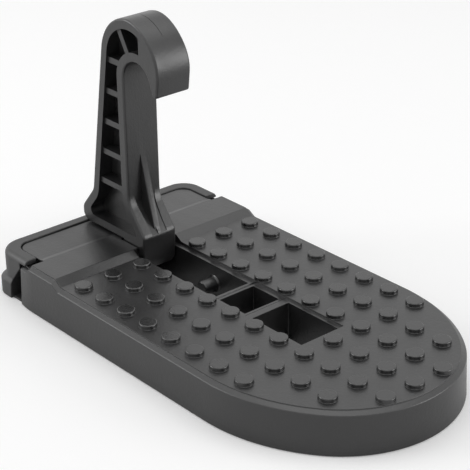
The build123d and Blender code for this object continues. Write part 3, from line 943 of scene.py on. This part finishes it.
def build_arm(look, finish):
    """The moulded arm with its hook, pockets, ribs, heel, gusset and hub."""
    arm = prism("hook_arm_piece", arm_outline(), -ARM_HALF, ARM_HALF, "Y")
    round_edges(arm, look.arm_rounding / MM, lambda p: abs(p.y) > ARM_HALF - WELD, segments=3, angle=60)
    seam = crown_line(*SEAM_ENDS, 20, BITE) + crown_line(*reversed(SEAM_ENDS), 20, -SEAM)
    combine(arm, prism("seam", seam, -SEAM, SEAM, "Y"))
    combine(arm, arm_cells(look.arm_rib / MM))
    combine(arm, on_both_sides("face", pocket_outline(), ARM_HALF - ARM_RIB_RECESS, PAST_ARM))
    for side, turn in RECESS_TURNS:
        combine(arm, front_recess(side, turn))
    merge_flat(arm)

    def in_pockets(p):
        return INNER_EDGES[0] < abs(p.y) < INNER_EDGES[1] and p.z > INNER_EDGES_ABOVE

    round_edges(arm, look.edge_rounding / MM, in_pockets)
    combine(arm, front_gusset(), "UNION")
    combine(arm, prism("bore", circle(0, 0, PIN_BORE), -FAR_PAST_ARM, FAR_PAST_ARM, "Y"))
    merge_flat(arm)
    arm.data.transform(Matrix.Translation((PIVOT_X, 0, PIVOT_Z)))
    finish_piece(arm, "arm", ["hook_arm"], finish)


def build_bumper(look, finish):
    """The rubber round the rear tongue: foot, wings, rim and the plugs that hold it."""
    rings = [(share, height, False) for share, height in RUBBER_FOOT]
    middle = RUBBER_TOP - RUBBER_ROUND
    for turn in range(0, 91, 15):
        inward = RUBBER_ROUND * (1 - cos(radians(turn)))
        rings.append((1 + inward, middle + RUBBER_ROUND * sin(radians(turn)), False))
    bumper = loft("rubber_bumper_piece", rubber_half, rings)
    seat = DECK + FIT
    side = [(BEHIND, UNDER), (WING_FOOT, UNDER), (WING_FOOT, 0), WING_BEND, (WING_TOP, WING_SHOULDER)]
    side += [(WING_TOP, seat), (RIM_FRONT, seat), (RIM_FRONT, OVER), (BEHIND, OVER)]
    combine(bumper, prism("side", side, -BESIDE, BESIDE, "Y"), "INTERSECT")
    for inset, low in ((-FIT, UNDER), (-RIM_GAP, seat)):
        combine(bumper, loft("inner", tongue_half, [(inset, low, False), (inset, OVER, False)]))
    merge_flat(bumper)
    round_edges(bumper, look.rubber_rounding / MM, lambda p: p.z > RUBBER_ROUND_ABOVE, segments=3, angle=40)
    # Painted shade: a thin dark web of rubber over the floor of each notch, standing in for the shade that
    # falls between wing and shoulder
    for side in (-1, 1):
        near, far = sorted((side * (TONGUE_HALF + FIT), side * (RUBBER_HALF - FIT)))
        web = block("notch web", NOTCH_SHADE_WEB, WING_TOP - DRAFT, near, far, 0, NOTCH_SHADE_WEB_HEIGHT)
        combine(bumper, web, "UNION")
    merge_flat(bumper)
    plugs = [turned("plug", PLUG_PROFILE, (BODY_REAR - FIT, y, PLUG_HEIGHT), "X") for y in PLUG_PLACES]
    joined(bumper, *plugs)
    finish_piece(bumper, "base", ["rubber_bumper"], finish)


def dress(names, finish):
    """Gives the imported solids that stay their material."""
    for name in names:
        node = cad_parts[name]
        node.data.materials.clear()
        node.data.materials.append(finish)


def ray_mask(tree):
    """One for rays from the camera, mirrors and glass, and nought for the rest."""
    rays = tree.nodes.new("ShaderNodeLightPath")
    total = rays.outputs["Is Camera Ray"]
    for name in ("Is Glossy Ray", "Is Transmission Ray"):
        node = tree.nodes.new("ShaderNodeMath")
        node.operation = "ADD"
        node.use_clamp = True
        tree.links.new(total, node.inputs[0])
        tree.links.new(rays.outputs[name], node.inputs[1])
        total = node.outputs[0]
    return total


def area_light(name, place, target, size, power):
    """A soft square lamp aimed at a point."""
    data = bpy.data.lights.new(name, "AREA")
    data.shape = "SQUARE"
    data.size = size
    data.energy = power
    lamp = bpy.data.objects.new(name, data)
    bpy.context.scene.collection.objects.link(lamp)
    lamp.location = place
    aim = Vector(target) - Vector(place)
    lamp.rotation_euler = aim.to_track_quat("-Z", "Y").to_euler()


def build_stage(look):
    """World, floor, lamps and the camera at the photograph's viewing angle."""
    scene = bpy.context.scene
    scene.view_settings.view_transform = "Standard"
    world = bpy.data.worlds.new("studio")
    scene.world = world
    world.use_nodes = True
    tree = world.node_tree
    tree.nodes.clear()
    output = tree.nodes.new("ShaderNodeOutputWorld")
    sky = tree.nodes.new("ShaderNodeBackground")
    strength = to_range(tree, ray_mask(tree), look.ambient, 1.0, 0, 1)
    tree.links.new(strength, sky.inputs["Strength"])
    sky.inputs["Color"].default_value = (1, 1, 1, 1)
    tree.links.new(sky.outputs[0], output.inputs["Surface"])

    floor = mesh_object("floor", [(-1, -1, 0), (1, -1, 0), (1, 1, 0), (-1, 1, 0)], [(0, 1, 2, 3)])
    floor.data.transform(Matrix.Scale(FLOOR_HALF, 4))
    floor.data.transform(Matrix.Translation((0, 0, -FLOOR_DROP)))
    material, tree, shader, _ = new_material("pale floor")
    set_inputs(shader, {"Base Color": (0.9, 0.9, 0.9, 1), "Emission Color": (1, 1, 1, 1)})
    set_inputs(shader, {"Roughness": 0.9, "Specular IOR Level": 0.1})
    rays = tree.nodes.new("ShaderNodeLightPath")
    glow = to_range(tree, rays.outputs["Is Camera Ray"], 0, look.floor_glow, 0, 1)
    tree.links.new(glow, shader.inputs["Emission Strength"])
    floor.data.materials.append(material)

    for lamp, power in zip(LAMPS, (look.top_power, look.left_power, look.far_power)):
        area_light(*lamp, power)

    camera = bpy.data.objects.new("photo camera", bpy.data.cameras.new("photo camera"))
    scene.collection.objects.link(camera)
    camera.data.sensor_width = CAMERA_SENSOR
    camera.data.lens = CAMERA_FOCAL_PIXELS / CAMERA_FRAME * CAMERA_SENSOR
    camera.data.clip_start, camera.data.clip_end = CAMERA_CLIP
    turn, lift, roll = (radians(a) for a in (CAMERA_AZIMUTH, CAMERA_ELEVATION, CAMERA_ROLL))
    back = Vector((sin(turn) * cos(lift), -cos(turn) * cos(lift), sin(lift)))
    level = Vector((cos(turn), sin(turn), 0))
    upright = back.cross(level)
    right = level * cos(roll) + upright * sin(roll)
    up = upright * cos(roll) - level * sin(roll)
    matrix = Matrix((right, up, back)).transposed().to_4x4()
    matrix.translation = Vector(CAMERA_PLACE) * MM
    camera.matrix_world = matrix
    scene.camera = camera


def finish_named(name):
    """One of the step's materials, made the first time that it is asked for."""
    if name in bpy.data.materials:
        return bpy.data.materials[name]
    look = bpy.context.scene.step_finish
    grain = look.moulding_grain
    if name == "black moulding":
        return moulding_material(name, look.moulding, look.moulding_roughness, grain)
    if name == "lined moulding":
        return moulding_material(name, look.moulding, look.moulding_roughness, grain, look.tool_lines)
    if name == "polished moulding":
        return moulding_material(name, look.moulding, look.stud_roughness, grain * 0.5)
    if name == "black rubber":
        return rubber_material(name, look.rubber)
    return steel_material(name, look.steel)


class StepShape(PropertyGroup):
    """Sizes of the visible pieces that a user would change."""

    edge_rounding: FloatProperty(
        name="Edge rounding", description="Radius of the moulding's inner edges",
        default=0.0002, unit="LENGTH")
    arm_rounding: FloatProperty(
        name="Arm rounding", description="Radius along both sides of the arm",
        default=0.0008, unit="LENGTH")
    arm_rib: FloatProperty(
        name="Arm rib", description="Thickness of the ribs in the arm's pockets",
        default=0.002, unit="LENGTH")
    rubber_rounding: FloatProperty(
        name="Rubber rounding", description="Radius of the bumper's cut edges",
        default=0.00035, unit="LENGTH")
    stud_radius: FloatProperty(
        name="Stud radius", description="Radius of a stud's wall",
        default=0.00295, unit="LENGTH")
    stud_height: FloatProperty(
        name="Stud height", description="Height of a stud above the deck",
        default=0.0014, unit="LENGTH")
    stud_edge: FloatProperty(
        name="Stud edge", description="Rounding of a stud's upper edge",
        default=0.0004, unit="LENGTH")
    stud_foot: FloatProperty(
        name="Stud foot", description="Flare where a stud meets the deck",
        default=0.0001, unit="LENGTH")


class StepFinish(PropertyGroup):
    """Colours and surface of the materials."""

    moulding: FloatVectorProperty(
        name="Moulding", description="Colour of the moulded plastic",
        default=(0.0105, 0.0105, 0.0108), subtype="COLOR", size=3, min=0, max=1)
    moulding_roughness: FloatProperty(
        name="Moulding roughness", description="Roughness of the plastic", default=0.345, min=0, max=1)
    moulding_grain: FloatProperty(
        name="Moulding grain", description="Depth of the plastic's texture",
        default=0.00008, unit="LENGTH")
    stud_roughness: FloatProperty(
        name="Stud roughness", description="Roughness of the studs, worn smoother than the deck",
        default=0.26, min=0, max=1)
    tool_lines: FloatProperty(
        name="Tool lines", description="Depth of the fine lines that run along the arm",
        default=0.00003, unit="LENGTH")
    rubber: FloatVectorProperty(
        name="Rubber", description="Colour of the bumper", default=(0.014, 0.014, 0.0142),
        subtype="COLOR", size=3, min=0, max=1)
    steel: FloatVectorProperty(
        name="Steel", description="Colour of the pin and screws", default=(0.35, 0.35, 0.36),
        subtype="COLOR", size=3, min=0, max=1)


class StepLight(PropertyGroup):
    """Strengths of the studio light."""

    ambient: FloatProperty(name="Ambient", description="Strength of the even light", default=0.45, min=0)
    floor_glow: FloatProperty(
        name="Floor glow", description="Brightness that the camera sees on the floor", default=0.16, min=0)
    top_power: FloatProperty(
        name="Top lamp", description="Power of the lamp above",
        default=3.4, min=0, unit="POWER")
    left_power: FloatProperty(
        name="Left lamp", description="Power of the lamp beside the bumper",
        default=4.5, min=0, unit="POWER")
    far_power: FloatProperty(
        name="Far lamp", description="Power of the lamp beyond the tread",
        default=5.0, min=0, unit="POWER")


class DOORSTEP_OT_tread(Operator):
    """Builds the moulded tread"""

    bl_idname = "doorstep.tread"
    bl_label = "Tread"

    def execute(self, context):
        build_tread(context.scene.step_shape, finish_named("black moulding"))
        return {"FINISHED"}


class DOORSTEP_OT_studs(Operator):
    """Stands the round studs on the deck"""

    bl_idname = "doorstep.studs"
    bl_label = "Studs"

    def execute(self, context):
        build_studs(context.scene.step_shape, finish_named("polished moulding"))
        return {"FINISHED"}


class DOORSTEP_OT_arm(Operator):
    """Builds the hook arm"""

    bl_idname = "doorstep.arm"
    bl_label = "Hook arm"

    def execute(self, context):
        build_arm(context.scene.step_shape, finish_named("lined moulding"))
        return {"FINISHED"}


class DOORSTEP_OT_bumper(Operator):
    """Builds the rubber bumper"""

    bl_idname = "doorstep.bumper"
    bl_label = "Rubber bumper"

    def execute(self, context):
        build_bumper(context.scene.step_shape, finish_named("black rubber"))
        return {"FINISHED"}


class DOORSTEP_OT_fixings(Operator):
    """Dresses the pivot pin, its two caps and their screws"""

    bl_idname = "doorstep.fixings"
    bl_label = "Pin, caps and screws"

    def execute(self, context):
        dress(("pin_clamp_near", "pin_clamp_far"), finish_named("black moulding"))
        dress(("pivot_pin", "clamp_screws"), finish_named("dulled steel"))
        return {"FINISHED"}


class DOORSTEP_OT_stage(Operator):
    """Sets up the floor, the light and the camera"""

    bl_idname = "doorstep.stage"
    bl_label = "Stage"

    def execute(self, context):
        build_stage(context.scene.step_light)
        return {"FINISHED"}


OPERATORS = (
    DOORSTEP_OT_tread, DOORSTEP_OT_studs, DOORSTEP_OT_arm, DOORSTEP_OT_bumper, DOORSTEP_OT_fixings,
    DOORSTEP_OT_stage,
)


class DOORSTEP_PT_panel(Panel):
    """Lists the step's builders and their settings"""

    bl_label = "Car Door Step"
    bl_idname = "DOORSTEP_PT_panel"
    bl_space_type = "VIEW_3D"
    bl_region_type = "UI"
    bl_category = "Door Step"

    def draw(self, context):
        column = self.layout.column()
        for operator in OPERATORS:
            column.operator(operator.bl_idname)
        for group in (context.scene.step_shape, context.scene.step_finish, context.scene.step_light):
            for name in type(group).__annotations__:
                column.prop(group, name)


CLASSES = (StepShape, StepFinish, StepLight, *OPERATORS, DOORSTEP_PT_panel)


def register():
    """Registers the classes and hangs the settings on the scene."""
    for item in CLASSES:
        bpy.utils.register_class(item)
    bpy.types.Scene.step_shape = PointerProperty(type=StepShape)
    bpy.types.Scene.step_finish = PointerProperty(type=StepFinish)
    bpy.types.Scene.step_light = PointerProperty(type=StepLight)


def unregister():
    """Takes the settings and the classes away again."""
    del bpy.types.Scene.step_light
    del bpy.types.Scene.step_finish
    del bpy.types.Scene.step_shape
    for item in reversed(CLASSES):
        bpy.utils.unregister_class(item)


def main():
    """Builds every piece in order."""
    register()
    bpy.ops.doorstep.stage()
    bpy.ops.doorstep.tread()
    bpy.ops.doorstep.studs()
    bpy.ops.doorstep.arm()
    bpy.ops.doorstep.bumper()
    bpy.ops.doorstep.fixings()


if __name__ == "__main__":
    main()
